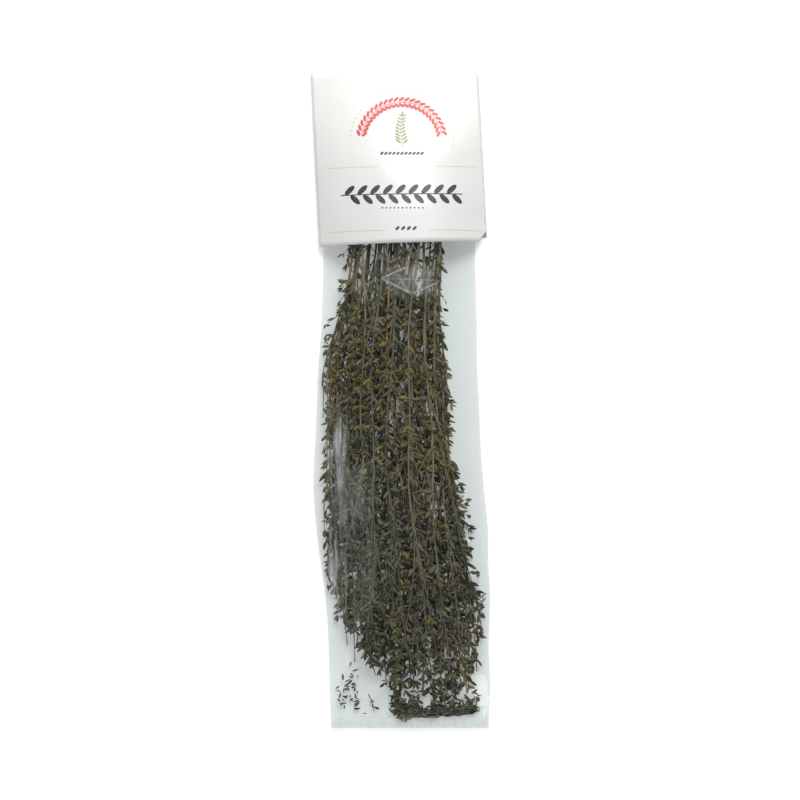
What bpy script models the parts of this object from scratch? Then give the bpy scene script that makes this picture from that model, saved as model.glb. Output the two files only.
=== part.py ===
"""A packet of dried thyme: sprigs in a clear film bag, closed by a folded header card.

Metres, +Z up. The packet lies on its back, its header card towards +Y. The origin is on the
surface that it lies on, under the middle of its outline. The sprigs lie with their cut ends
under the card and their leafy tips towards the bag's sealed end at -Y.
"""

import math
import random

import bmesh
import bpy
from mathutils import Matrix, Vector

MM = 0.001
CLEARANCE = 0.3 * MM  # between faces that touch on the real packet

# The film bag. Each station is (y, value...), in millimetres.
FILM_WALL = 0.4 * MM
FILM_EDGES = (  # y, left edge, right edge
    (-197.5, -41.5, 53.0),
    (-168.0, -42.0, 53.5),
    (-120.0, -44.0, 53.8),
    (-96.0, -48.0, 53.6),
    (-69.0, -52.5, 52.5),
    (-48.0, -51.6, 49.0),
    (0.0, -50.0, 47.7),
    (42.0, -47.2, 46.5),
    (90.0, -46.3, 45.4),
    (193.0, -46.5, 44.5),
)
CROWN = (  # y, highest point of the film
    (-197.5, 2.7),
    (-190.0, 3.2),
    (-180.0, 9.0),
    (-160.0, 17.5),
    (-130.0, 24.0),
    (-90.0, 28.5),
    (-50.0, 30.0),
    (0.0, 29.0),
    (50.0, 26.5),
    (92.0, 23.0),
    (125.0, 19.0),
    (150.0, 14.0),
    (172.0, 6.5),
    (193.0, 2.3),
)
UNDERSIDE = (  # y, height of the film's underside over the surface
    (-197.5, 2.0),
    (-190.0, 1.8),
    (-178.0, 0.0),
    (88.0, 0.0),
    (94.0, 0.8),
    (193.0, 0.8),
)
SEAM_HEIGHT = 3.0  # of the bag's side edges where the bag is full, in millimetres
SEAL_INNER_END = -190.0  # the film is welded to itself from here to the bag's end
MOUTH = 193.0
FLAT_SHARE = 0.72  # of each half width that lies flat on the surface
BULGE = 2.6  # exponent of the section: 2 is a parabola, more is boxier
SECTION_SEGMENTS = 12
BAG_STATIONS = (-197.5, -190, -184, -178, -165, -145, -120, -90, -60, -30, 0, 30, 60, 88, 94, 120, 145, 165, 180, 193)

# The header card, folded over the bag's mouth
CARD_THICKNESS = 0.35 * MM
CARD_WIDTH = 101.0
CARD_FOLD_Y = 197.3
CARD_LEFT_AT_FOLD = -53.8
CARD_LEAN = 0.052  # how far its sides run to +X for each unit towards -Y
FRONT_EDGE_Y = (91.8, 95.0)  # the front flap's lower edge, at its left and its right corner
BACK_EDGE_Y = 98.0
CARD_CORNER_CUT = 9.0  # the front flap's right corner is bent out of the way
CARD_COLUMNS = 12
CARD_ROWS = 9  # in each flap

# The bundle of sprigs
HERB_EDGES = (  # y, left edge, right edge of the lanes that the sprigs lie in
    (-190.0, -12.0, 51.0),
    (-168.0, -25.0, 50.5),
    (-144.0, -37.0, 50.5),
    (-120.0, -41.5, 50.0),
    (-96.0, -44.0, 46.0),
    (-48.0, -45.5, 37.0),
    (0.0, -45.0, 30.0),
    (30.0, -43.0, 29.0),
    (60.0, -36.0, 26.0),
    (92.0, -30.0, 28.0),
    (140.0, -27.0, 27.0),
)
LANES = (7, 7, 6, 6, 5, 4, 3)  # sprigs side by side in each layer, from the lowest
CUT_ENDS = (140.0, 128.0)  # the furthest cut end, in every other layer
TIPS = (-178.5, -167.0)  # the furthest tip, in every other layer
HERB_MARGIN = 1.0  # between the film and the sprigs' outer layers
LANE_SWAY = (0.16, -0.20, 0.18, -0.14, 0.22, -0.20, 0.16)
SWAY_LENGTH = 340.0  # the lanes of a layer drift across the bundle and back within this
STEM_SIDE = (0.8, 1.45)  # of a stem's square section, at its tip and at its cut end
STEM_STEP = 30.0  # between the nodes that carry a pair of leaves
LEAF_REACH = 5.0
LEAF_WIDTH = 1.9
LEAF_THICKNESS = 0.5
LEAF_BASE = 1.7  # how much of the stem a leaf's foot takes
LEAF_ANGLE = math.radians(50)  # between leaf and stem
BARE_SHARE = 0.3  # of a sprig's length that has no leaves, from its cut end

# What has fallen to the bottom of the bag
FALLEN_BED = ((-4.0, -185.1), (50.0, -184.3))  # the ends of the bed of fallen leaves
FALLEN_BED_SIZE = (2.5, 1.15)  # half its width and half its height
LOOSE_LEAVES = 9
LOOSE_LEAF_ROOM = ((-36.0, -179.0), (-24.0, -166.5))  # the corner where they lie
FALLEN_TIP = (-18.5, -182.0)
FALLEN_TIP_LENGTH = 9.0


def station_value(stations, y, column=1):
    """The value in a column of the stations at y, on a smooth curve through them."""
    stations = sorted(stations)
    y = min(max(y, stations[0][0]), stations[-1][0])
    index = next(i for i in range(len(stations) - 1) if y <= stations[i + 1][0])
    before = stations[max(index - 1, 0)]
    start, end = stations[index], stations[index + 1]
    after = stations[min(index + 2, len(stations) - 1)]
    span = end[0] - start[0]
    rise = end[column] - start[column]

    def slope(low, high):
        steep = (high[column] - low[column]) / (high[0] - low[0])
        flat = min(abs(steep), 2.0 * abs(rise) / span)  # no overshoot beside a level stretch
        return math.copysign(flat, steep)

    t = (y - start[0]) / span
    into = slope(before, end) * span
    out_of = slope(start, after) * span
    return (
        start[column]
        + rise * (3 - 2 * t) * t * t
        + into * t * (1 - t) ** 2
        - out_of * (1 - t) * t * t
    )


def film_section(y, wall=0.0):
    """The bag's left, right, crown, side edge and underside at y, less a wall, in millimetres."""
    left = station_value(FILM_EDGES, y, 1) + 2 * wall
    right = station_value(FILM_EDGES, y, 2) - 2 * wall
    crown = station_value(CROWN, y) - wall
    under = station_value(UNDERSIDE, y) + wall
    seam = under + min(SEAM_HEIGHT, 0.45 * (crown - under))
    return left, right, crown, seam, under


def herb_span(y):
    return station_value(HERB_EDGES, y, 1), station_value(HERB_EDGES, y, 2)


def crown_x(y):
    """Where the film is highest: over the middle of the bundle, but well inside the bag."""
    left, right, _, _, _ = film_section(y)
    middle = sum(herb_span(y)) / 2
    return min(max(middle, left + 0.42 * (right - left)), left + 0.58 * (right - left))


def section_points(y, wall=0.0):
    """The closed outline of the bag at y: over the top from left to right, then back under."""
    left, right, crown, seam, under = film_section(y, wall)
    peak = crown_x(y)
    over, back = [], []
    for i in range(SECTION_SEGMENTS + 1):
        share = -math.cos(math.pi * i / SECTION_SEGMENTS)
        x = peak + share * (right - peak if share > 0 else peak - left)
        top = seam + (crown - seam) * (1 - abs(share) ** BULGE)
        edge = max(0.0, (abs(share) - FLAT_SHARE) / (1 - FLAT_SHARE))
        over.append(Vector((x, y, top)) * MM)
        back.append(Vector((x, y, under + (seam - under) * edge**2)) * MM)
    return over + back[-2:0:-1]


def new_object(name, bm, material, collection):
    """A named object made from the bmesh, with its faces pointing outwards."""
    bmesh.ops.recalc_face_normals(bm, faces=bm.faces)
    mesh = bpy.data.meshes.new(name)
    bm.to_mesh(mesh)
    bm.free()
    mesh.materials.append(material)
    made = bpy.data.objects.new(name, mesh)
    collection.objects.link(made)
    return made


def new_material(name, colour, roughness, alpha=1.0):
    material = bpy.data.materials.new(name)
    material.use_nodes = True
    shader = material.node_tree.nodes["Principled BSDF"]
    shader.inputs["Base Color"].default_value = (*colour, 1.0)
    shader.inputs["Roughness"].default_value = roughness
    shader.inputs["Metallic"].default_value = 0.0
    shader.inputs["Alpha"].default_value = alpha
    return material


def film_top(x, y, wall):
    """Height of the film over x, y, less the wall, in millimetres."""
    left, right, crown, seam, _ = film_section(y, wall)
    peak = crown_x(y)
    share = abs(x - peak) / (right - peak if x > peak else peak - left)
    return seam + (crown - seam) * (1 - min(1.0, share) ** BULGE)


def film_floor(x, y, wall):
    """Height of the film under x, y, plus the wall, in millimetres."""
    left, right, _, seam, under = film_section(y, wall)
    peak = crown_x(y)
    share = abs(x - peak) / (right - peak if x > peak else peak - left)
    edge = max(0.0, (min(1.0, share) - FLAT_SHARE) / (1 - FLAT_SHARE))
    return under + (seam - under) * edge**2


def loft(bm, sections):
    """A skin over closed sections with the same number of points each, closed at both ends."""
    rings = [[bm.verts.new(point) for point in section] for section in sections]
    for ring, following in zip(rings, rings[1:]):
        for i, vert in enumerate(ring):
            after = (i + 1) % len(ring)
            bm.faces.new((vert, ring[after], following[after], following[i]))
    bm.faces.new(rings[0])
    return rings, bm.faces.new(rings[-1])


def make_bag(material, collection):
    """The film: up its outside from the sealed end, over the open mouth, and back inside."""
    wall = FILM_WALL / MM
    outside = [section_points(y) for y in BAG_STATIONS]
    inside = [section_points(y, wall) for y in reversed(BAG_STATIONS) if y >= SEAL_INNER_END]
    bm = bmesh.new()
    loft(bm, outside + inside)
    return new_object("bag", bm, material, collection)


def card_row(position):
    """For a row of the card, 0 at the front edge and 1 at the back edge: y and flap."""
    if position < 0.46:
        return FRONT_EDGE_Y[0] + (CARD_FOLD_Y - 1.2 - FRONT_EDGE_Y[0]) * position / 0.46, "front"
    if position > 0.54:
        back = (position - 0.54) / 0.46
        return CARD_FOLD_Y - 1.2 + (BACK_EDGE_Y - CARD_FOLD_Y + 1.2) * back, "back"
    return CARD_FOLD_Y, "fold"


def card_place(across, down):
    """The point of the card's middle surface at a share of its width and of its length."""
    y, flap = card_row(down)
    if flap == "front":
        lower = FRONT_EDGE_Y[0] + (FRONT_EDGE_Y[1] - FRONT_EDGE_Y[0]) * across
        y += (lower - FRONT_EDGE_Y[0]) * (1 - down / 0.46)
    x = CARD_LEFT_AT_FOLD + CARD_LEAN * (CARD_FOLD_Y - y) + CARD_WIDTH * across
    if flap == "back":
        return Vector((x, y, CARD_THICKNESS / MM / 2)) * MM
    _, _, crown, seam, _ = film_section(min(y, MOUTH))
    height = seam + 1.0 + (crown - seam) * (1 - abs(2 * across - 1) ** BULGE)
    return Vector((x, y, height * (0.5 if flap == "fold" else 1.0))) * MM


def make_card(material, collection):
    """The header card: one sheet, creased over the bag's mouth."""
    bm = bmesh.new()
    rows = 2 * CARD_ROWS + 3
    bmesh.ops.create_grid(bm, x_segments=CARD_COLUMNS, y_segments=rows - 1, size=0.5)
    for vert in bm.verts:
        row = round((vert.co.y + 0.5) * (rows - 1))
        if row <= CARD_ROWS:
            down = 0.46 * row / (CARD_ROWS + 0.001)
        elif row == CARD_ROWS + 1:
            down = 0.5
        else:
            down = 0.5402 + 0.4598 * (row - CARD_ROWS - 2) / CARD_ROWS
        vert.co = card_place(vert.co.x + 0.5, down)
    bm.verts.ensure_lookup_table()
    corner = max((v for v in bm.verts if v.co.z > 1.5 * MM), key=lambda v: v.co.x - v.co.y)
    bmesh.ops.bevel(bm, geom=[corner], offset=CARD_CORNER_CUT * MM * 0.8, segments=1,
                    profile=0.5, affect="VERTICES", material=-1)
    card = new_object("header_card", bm, material, collection)
    thickness = card.modifiers.new("thickness", "SOLIDIFY")
    thickness.thickness = CARD_THICKNESS
    thickness.offset = 0.0
    return card


def layer_height(layer, y):
    """Height of a layer's middle at y, in millimetres."""
    _, _, crown, _, under = film_section(y, FILM_WALL / MM)
    floor = under + HERB_MARGIN
    return floor + (crown - HERB_MARGIN - floor) * (layer + 0.5) / len(LANES)


def lane_x(layer, place, y):
    """Where a lane runs at y: place is -1 at the layer's left and 1 at its right."""
    _, _, crown, seam, _ = film_section(y, FILM_WALL / MM)
    left, right = herb_span(y)
    needed = (layer_height(layer, y) + HERB_MARGIN - seam) / (crown - seam)
    share = (1 - min(max(needed, 0.0), 0.97)) ** (1 / BULGE)
    film_left, film_right, _, _, _ = film_section(y, FILM_WALL / MM)
    peak = crown_x(y)
    left = max(left, peak - share * (peak - film_left) + 1.0)
    right = min(right, peak + share * (film_right - peak) - 1.0)
    sway = LANE_SWAY[layer] * math.cos(2 * math.pi * (y + 40 * layer) / SWAY_LENGTH)
    place += sway * (1 - place**2)
    return (left + right) / 2 + (right - left) / 2 * place


def node_heights(start, end):
    """The y of each pair of leaves on a sprig that runs from start to end."""
    first = start + (end - start) * BARE_SHARE
    count = max(2, round((first - end) / STEM_STEP))
    return [first + (end + 3.0 - first) * i / (count - 1) for i in range(count)]


def stem_section(point, along, side):
    """A square section of a stem, in millimetres: low left, low right, high right, high left."""
    across = Vector((-along.y, along.x, 0.0)).normalized() * side / 2
    up = Vector((0.0, 0.0, side / 2))
    corners = (point - across - up, point + across - up, point + across + up, point - across + up)
    return [corner * MM for corner in corners]


def grow_leaf(bm, face, along, reach):
    """A lance-shaped leaf out of a side face of the stem, leaning towards the stem's tip."""
    foot = face.calc_center_median()
    outward = face.normal.copy()
    outward.z = 0.0
    outward.normalize()
    toward = math.cos(LEAF_ANGLE) * along + math.sin(LEAF_ANGLE) * outward
    across = math.sin(LEAF_ANGLE) * along - math.cos(LEAF_ANGLE) * outward
    blade = bmesh.ops.extrude_discrete_faces(bm, faces=[face])["faces"][0]
    middle = foot + toward * reach * 0.45
    for vert in blade.verts:
        ahead = 1.0 if (vert.co - foot).dot(along) > 0 else -1.0
        above = 1.0 if vert.co.z > foot.z else -1.0
        vert.co = middle + across * ahead * LEAF_WIDTH * MM / 2
        vert.co.z += above * LEAF_THICKNESS * MM / 2
    tip = bmesh.ops.poke(bm, faces=[blade])["verts"][0]
    tip.co = foot + toward * reach


def make_sprig(name, points, leaf_rooms, sides, material, collection):
    """A stem through the points, its last part leafy: leaf_rooms holds (index, left, right)."""
    bm = bmesh.new()
    sections, directions = [], []
    for i, point in enumerate(points):
        along = (points[min(i + 1, len(points) - 1)] - points[max(i - 1, 0)]).normalized()
        side = sides[1] + (sides[0] - sides[1]) * i / (len(points) - 1)
        sections.append(stem_section(point, along, side))
        directions.append(along)
    rings, tip_face = loft(bm, sections)
    bmesh.ops.recalc_face_normals(bm, faces=bm.faces)
    bm.normal_update()
    places = []
    for index, left, right in leaf_rooms:
        lower, upper = rings[index], rings[index + 1]
        for first, room in ((1, right), (3, left)):
            corners = {lower[first], lower[(first + 1) % 4], upper[first], upper[(first + 1) % 4]}
            face = next(f for f in lower[first].link_faces if set(f.verts) == corners)
            outward = face.normal.x < 0
            places.append((face, directions[index], left if outward else right))
    point = bmesh.ops.poke(bm, faces=[tip_face])["verts"][0]
    point.co += directions[-1] * 2.0 * MM
    for face, along, room in places:
        if room > 2.0:
            grow_leaf(bm, face, along, room * MM)
    return new_object(name, bm, material, collection)


def lane_room(layer, index, places, y):
    """How far a leaf can reach to the left and to the right of a sprig in its layer."""
    here = lane_x(layer, places[index], y)
    rooms = []
    for step in (-1, 1):
        if 0 <= index + step < len(places):
            gap = abs(lane_x(layer, places[index + step], y - 3.0) - here) / 2
        else:
            film_left, film_right, _, _, _ = film_section(y, FILM_WALL / MM)
            gap = 1.1 * LEAF_REACH * math.sin(LEAF_ANGLE)
        rooms.append(min(LEAF_REACH, (gap - 0.9) / math.sin(LEAF_ANGLE)))
    return rooms


def make_sprigs(materials, collection, chance):
    """The bundle, layer over layer from the lowest, and from left to right in each."""
    count = 0
    for layer, lanes in enumerate(LANES):
        places = [-1 + 2 * (i + 0.5 + chance.uniform(-0.12, 0.12)) / lanes for i in range(lanes)]
        for index, place in enumerate(places):
            count += 1
            start = CUT_ENDS[layer % 2] - chance.uniform(0.0, 16.0)
            if chance.random() < 0.12:
                start -= 45.0
            end = TIPS[layer % 2] + chance.uniform(0.0, 14.0) + max(0.0, -place) ** 1.2 * 26.0
            heights = [start + (BARE_SHARE * (end - start)) * i / 3 for i in range(3)]
            nodes = node_heights(start, end)
            rooms = []
            for y in nodes:
                rooms.append((len(heights), *lane_room(layer, index, places, y)))
                heights += [y + LEAF_BASE / 2, y - LEAF_BASE / 2]
            points = [
                Vector((lane_x(layer, place, y), y, layer_height(layer, y))) for y in heights
            ]
            make_sprig(f"sprig_{count:02d}", points, rooms, STEM_SIDE,
                       materials[count % len(materials)], collection)


def make_fallen(material, collection, chance):
    """What has dropped off: a bed of leaves along the seal, loose leaves and a broken tip."""
    bm = bmesh.new()
    bmesh.ops.create_uvsphere(bm, u_segments=14, v_segments=7, radius=1.0)
    (x0, y0), (x1, y1) = FALLEN_BED
    wide, high = FALLEN_BED_SIZE
    for vert in bm.verts:
        x, y, z = vert.co
        middle = Vector(((x0 + x1) / 2, (y0 + y1) / 2, film_section((y0 + y1) / 2, 0.4)[4] + 0.4 + high))
        lump = chance.uniform(0.8, 1.0)
        vert.co = (middle + Vector((x * (x1 - x0) / 2, y * wide * lump, z * high * lump))) * MM
        vert.co.y += x * (y1 - y0) / 2 * MM
    new_object("fallen_leaf_bed", bm, material, collection)

    (left, low), (right, high_y) = LOOSE_LEAF_ROOM
    columns = 3
    for i in range(LOOSE_LEAVES):
        column, row = i % columns, i // columns
        x = left + (right - left) * (column + 0.5 + chance.uniform(-0.1, 0.1)) / columns
        y = low + (high_y - low) * (row + 0.5 + chance.uniform(-0.1, 0.1)) / (LOOSE_LEAVES // columns)
        bm = bmesh.new()
        bmesh.ops.create_uvsphere(bm, u_segments=6, v_segments=4, radius=1.0)
        half = (1.75, 0.8, 0.35)
        bmesh.ops.scale(bm, vec=Vector(half) * MM, verts=bm.verts)
        turn = Matrix.Rotation(math.radians(chance.uniform(-50, 50)), 4, "Z")
        bmesh.ops.transform(bm, matrix=turn, verts=bm.verts)
        z = film_floor(x - 2.0, y - 2.0, 0.4) + 0.8
        bmesh.ops.translate(bm, vec=Vector((x, y, z)) * MM, verts=bm.verts)
        new_object(f"loose_leaf_{i + 1}", bm, material, collection)

    x, y = FALLEN_TIP
    z = film_floor(x, y - FALLEN_TIP_LENGTH / 2, 0.4) + 0.9
    steps = (0.0, 3.0, 3.0 + LEAF_BASE, FALLEN_TIP_LENGTH - 1.0, FALLEN_TIP_LENGTH)
    points = [Vector((x + 0.25 * s, y + FALLEN_TIP_LENGTH / 2 - s, z)) for s in steps]
    make_sprig("fallen_tip", points, [(1, 3.0, 3.0)], (0.6, 0.8), material, collection)


def main():
    for old in list(bpy.data.objects):
        bpy.data.objects.remove(old)
    collection = bpy.data.collections.new("thyme_bundle")
    bpy.context.scene.collection.children.link(collection)
    film = new_material("clear film", (0.80, 0.84, 0.85), 0.12, 0.3)
    card = new_material("coated card", (0.91, 0.92, 0.89), 0.3)
    herbs = [
        new_material("dried thyme, grey green", (0.085, 0.088, 0.055), 0.85),
        new_material("dried thyme, olive", (0.115, 0.108, 0.058), 0.85),
        new_material("dried thyme, brown", (0.13, 0.095, 0.06), 0.85),
    ]
    make_bag(film, collection)
    make_card(card, collection)
    chance = random.Random(11)
    make_sprigs(herbs, collection, chance)
    make_fallen(herbs[0], collection, chance)
    for made in collection.objects:
        made.data.shade_smooth()
        made.data.set_sharp_from_angle(angle=math.radians(35))


main()
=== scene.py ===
"""Looks of a packet of dried thyme: sprigs and fallen leaves in a clear film bag with a header card.
"""

import math
import random

import bmesh
import bpy
import numpy
from mathutils import Matrix, Vector, noise
from mathutils.bvhtree import BVHTree


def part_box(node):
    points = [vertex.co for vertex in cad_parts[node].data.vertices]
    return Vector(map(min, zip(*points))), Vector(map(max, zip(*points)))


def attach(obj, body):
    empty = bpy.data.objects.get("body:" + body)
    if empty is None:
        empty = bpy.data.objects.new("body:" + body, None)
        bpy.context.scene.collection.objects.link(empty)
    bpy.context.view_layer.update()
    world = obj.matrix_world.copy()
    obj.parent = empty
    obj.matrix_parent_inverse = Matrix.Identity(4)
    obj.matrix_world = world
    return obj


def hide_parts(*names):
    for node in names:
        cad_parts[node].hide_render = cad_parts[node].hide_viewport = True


bl_info = {
    "name": "Dried Thyme Packet",
    "version": (1, 0, 0),
    "blender": (4, 5, 0),
    "location": "3D View > Sidebar > Thyme",
    "description": "Builds the sprigs, the film bag, the header card and the stage around the fixed frame",
    "category": "Object",
}

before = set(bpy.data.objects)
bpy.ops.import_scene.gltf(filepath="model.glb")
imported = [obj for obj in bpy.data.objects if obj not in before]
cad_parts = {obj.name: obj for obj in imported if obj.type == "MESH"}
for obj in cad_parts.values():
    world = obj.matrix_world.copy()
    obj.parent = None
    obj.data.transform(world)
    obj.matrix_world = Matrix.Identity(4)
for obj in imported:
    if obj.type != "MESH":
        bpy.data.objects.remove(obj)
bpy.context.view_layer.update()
MM = 0.001
UP = Vector((0.0, 0.0, 1.0))
SPRIGS = sorted(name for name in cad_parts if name.startswith("sprig_"))
LOOSE = sorted(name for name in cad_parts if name.startswith("loose_leaf_"))


# Shader nodes


class Number:
    """A socket that holds a number. Arithmetic on it adds Math nodes."""

    def __init__(self, finish, socket):
        self.finish = finish
        self.socket = socket

    def math(self, operation, first, second):
        node = self.finish.add("ShaderNodeMath", {"operation": operation}, {0: first, 1: second})
        return Number(self.finish, node.outputs[0])

    def __add__(self, other):
        return self.math("ADD", self, other)

    def __radd__(self, other):
        return self.math("ADD", other, self)

    def __sub__(self, other):
        return self.math("SUBTRACT", self, other)

    def __rsub__(self, other):
        return self.math("SUBTRACT", other, self)

    def __mul__(self, other):
        return self.math("MULTIPLY", self, other)

    def __rmul__(self, other):
        return self.math("MULTIPLY", other, self)

    def __truediv__(self, other):
        return self.math("DIVIDE", self, other)

    def __pow__(self, other):
        return self.math("POWER", self, other)

    def __abs__(self):
        return self.math("ABSOLUTE", self, 0.0)

    def over(self, low, high):
        """0 below low, 1 above high and smooth between them."""
        node = self.finish.add(
            "ShaderNodeMapRange",
            {"interpolation_type": "SMOOTHSTEP"},
            {"Value": self, "From Min": low, "From Max": high},
        )
        return Number(self.finish, node.outputs["Result"])

    def near(self, middle, inner, outer):
        """1 nearer to middle than inner, 0 farther than outer and smooth between them."""
        return 1 - abs(self - middle).over(inner, outer)


class Finish:
    """A material and a short way to add nodes to it."""

    def __init__(self, name):
        self.material = bpy.data.materials.new(name)
        self.material.use_nodes = True
        self.tree = self.material.node_tree
        self.shader = self.tree.nodes["Principled BSDF"]
        self.output = self.tree.nodes["Material Output"]
        self.place = None

    def add(self, kind, settings=None, inputs=None):
        """A node of this kind, its settings made first and then its sockets set or linked."""
        node = self.tree.nodes.new(kind)
        for name, value in (settings or {}).items():
            if name == "stops":
                ramp = node.color_ramp
                while len(ramp.elements) < len(value):
                    ramp.elements.new(0.5)
                for element, (position, colour) in zip(ramp.elements, value):
                    element.position = position
                    element.color = (*colour, 1.0)
            else:
                setattr(node, name, value)
        for key, value in (inputs or {}).items():
            self.join(value, node.inputs[key])
        return node

    def join(self, value, socket):
        value = value.socket if isinstance(value, Number) else value
        if isinstance(value, bpy.types.NodeSocket):
            self.tree.links.new(value, socket)
        else:
            socket.default_value = value

    def set(self, **values):
        """Sets or links sockets of the Principled shader, by name with underscores for spaces."""
        for name, value in values.items():
            self.join(value, self.shader.inputs[name.replace("_", " ")])

    def position(self):
        """X, Y and Z of the point on the piece, in millimetres."""
        if self.place is None:
            coordinates = self.add("ShaderNodeTexCoord")
            split = self.add("ShaderNodeSeparateXYZ", {}, {0: coordinates.outputs["Object"]})
            self.place = coordinates.outputs["Object"], [
                Number(self, split.outputs[i]) * 1000.0 for i in range(3)
            ]
        return self.place[1]

    def attribute(self, name):
        node = self.add("ShaderNodeAttribute", {"attribute_name": name})
        return Number(self, node.outputs["Fac"])

    def noise(self, scale, stretch=(1.0, 1.0, 1.0), detail=3.0, roughness=0.5):
        """A noise of about this many cells in a metre along each axis, between 0 and 1."""
        self.position()
        mapping = self.add(
            "ShaderNodeMapping", {}, {"Vector": self.place[0], "Scale": stretch}
        )
        node = self.add(
            "ShaderNodeTexNoise",
            {},
            {
                "Vector": mapping.outputs[0],
                "Scale": scale,
                "Detail": detail,
                "Roughness": roughness,
            },
        )
        return Number(self, node.outputs["Fac"])

    def crease(self, start, end, width):
        """1 along a straight line between two points on the XY plane, in millimetres, and 0 a width away."""
        x, y, _ = self.position()
        dx, dy = end[0] - start[0], end[1] - start[1]
        long = math.hypot(dx, dy)
        along = ((x - start[0]) * (dx / long) + (y - start[1]) * (dy / long)) - long / 2
        away = (x - start[0]) * (dy / long) - (y - start[1]) * (dx / long)
        return away.near(0.0, 0.0, width) * along.near(0.0, long * 0.4, long * 0.52)

    def ramp(self, value, stops):
        node = self.add("ShaderNodeValToRGB", {"stops": stops}, {"Fac": value})
        return node.outputs["Color"]

    def mix(self, share, first, second, blend="MIX"):
        node = self.add(
            "ShaderNodeMix",
            {"data_type": "RGBA", "blend_type": blend},
            {0: share, 6: colour4(first), 7: colour4(second)},
        )
        return node.outputs[2]

    def blend(self, share, first, second):
        """A shader that turns from the first into the second."""
        return self.add("ShaderNodeMixShader", {}, {0: share, 1: first, 2: second}).outputs[0]

    def bump(self, height, strength, distance):
        node = self.add(
            "ShaderNodeBump", {}, {"Height": height, "Strength": strength, "Distance": distance}
        )
        return node.outputs["Normal"]


def colour4(value):
    """The colour with an alpha of 1, and anything else as it is."""
    return (*value, 1.0) if isinstance(value, tuple) and len(value) == 3 else value


def plain(colour):
    """Red, green and blue only."""
    return tuple(colour)[:3]


# The bag's inside, read from the fixed frame


class Inside:
    """Where there is room in the bag, measured on the fixed frame's film."""

    def __init__(self):
        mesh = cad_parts["bag"].data
        self.tree = BVHTree.FromPolygons(
            [vert.co.copy() for vert in mesh.vertices],
            [tuple(face.vertices) for face in mesh.polygons],
        )
        self.low, self.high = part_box("bag")

    def heights(self, x, y):
        """The film's underside and top at x, y, or None outside the bag."""
        top = self.tree.ray_cast(Vector((x, y, 1.0)), -UP)[0]
        floor = self.tree.ray_cast(Vector((x, y, -1.0)), UP)[0]
        return (floor.z, top.z) if top and floor else None

    def settle(self, point, margin):
        """The point, moved just far enough to lie this far inside the film."""
        point = point.copy()
        point.y = min(max(point.y, self.low.y + 6.4 * MM), self.high.y - 3 * MM)
        for _ in range(14):
            found = self.heights(point.x, point.y)
            if found and found[1] - found[0] > 2 * margin + 0.1 * MM:
                point.z = min(max(point.z, found[0] + margin), found[1] - margin)
                return point
            point.x *= 0.95
        return point


INSIDE = Inside()
LOWEST_LEAF = 0.6 * MM  # a leaf's lowest point above the surface that the bag lies on
LEAF_ROOM = 1.6 * MM  # from a leaf's tip to the film
STEM_ROOM = 2.0 * MM  # from the middle of a stem to the film
FALLEN_ROOM = 0.9 * MM  # from a loose leaf to the film
HERB_OUTLINE = (  # y, left, right of the mass of sprigs, in millimetres
    (-197, -4, 53),
    (-180, -6, 52),
    (-168, -6, 51),
    (-156, -16, 51),
    (-144, -27, 51),
    (-120, -42, 50),
    (-96, -45, 44),
    (-72, -46, 39),
    (-48, -46, 34),
    (-30, -44, 30),
    (0, -46, 29),
    (30, -44, 29),
    (60, -36, 24),
    (78, -34, 25),
    (92, -30, 27),
    (150, -28, 28),
)


def in_gap(point):
    """Whether the point lies over one of the narrow gaps that run right through the bundle."""
    x, y = point.x / MM, point.y / MM
    near_card = min(1.0, max(0.0, (y - 52) / 25))
    near_tips = min(1.0, max(0.0, (-70 - y) / 40))
    least = 0.33 - 0.13 * near_card + 0.12 * near_tips
    narrow = noise.noise(Vector((x / 3.1, y / 6.0, 2.2)))
    broad = noise.noise(Vector((x / 14.0, y / 20.0, 8.4)))
    return narrow + 0.35 * broad > least


def stations(rows, y):
    """The row at y, in a straight line between its neighbours."""
    y = min(max(y, rows[0][0]), rows[-1][0])
    for low, high in zip(rows, rows[1:]):
        if y <= high[0]:
            t = (y - low[0]) / (high[0] - low[0])
            return [a + (b - a) * t for a, b in zip(low[1:], high[1:])]
    return list(rows[-1][1:])


def in_herb(point, spare=0.0):
    """Whether the point lies within the mass of sprigs, seen from above."""
    left, right = stations(HERB_OUTLINE, point.y / MM)
    return left - spare <= point.x / MM <= right + spare


# Meshes


def new_piece(name, bm, materials, nodes=(), smooth=True):
    """A finished piece of the object, riding on the frame."""
    mesh = bpy.data.meshes.new(name)
    bm.to_mesh(mesh)
    bm.free()
    for material in materials:
        mesh.materials.append(material)
    if smooth:
        mesh.shade_smooth()
    piece = bpy.data.objects.new(name, mesh)
    bpy.context.scene.collection.objects.link(piece)
    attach(piece, "root")
    if nodes:
        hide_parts(*nodes)
    return piece


def template_of(bm, mark):
    """The points, faces and material number of a shape that is copied many times."""
    bm.verts.index_update()
    points = numpy.array([vert.co[:] for vert in bm.verts])
    faces = [[vert.index for vert in face.verts] for face in bm.faces]
    bm.free()
    return points, faces, mark


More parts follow.
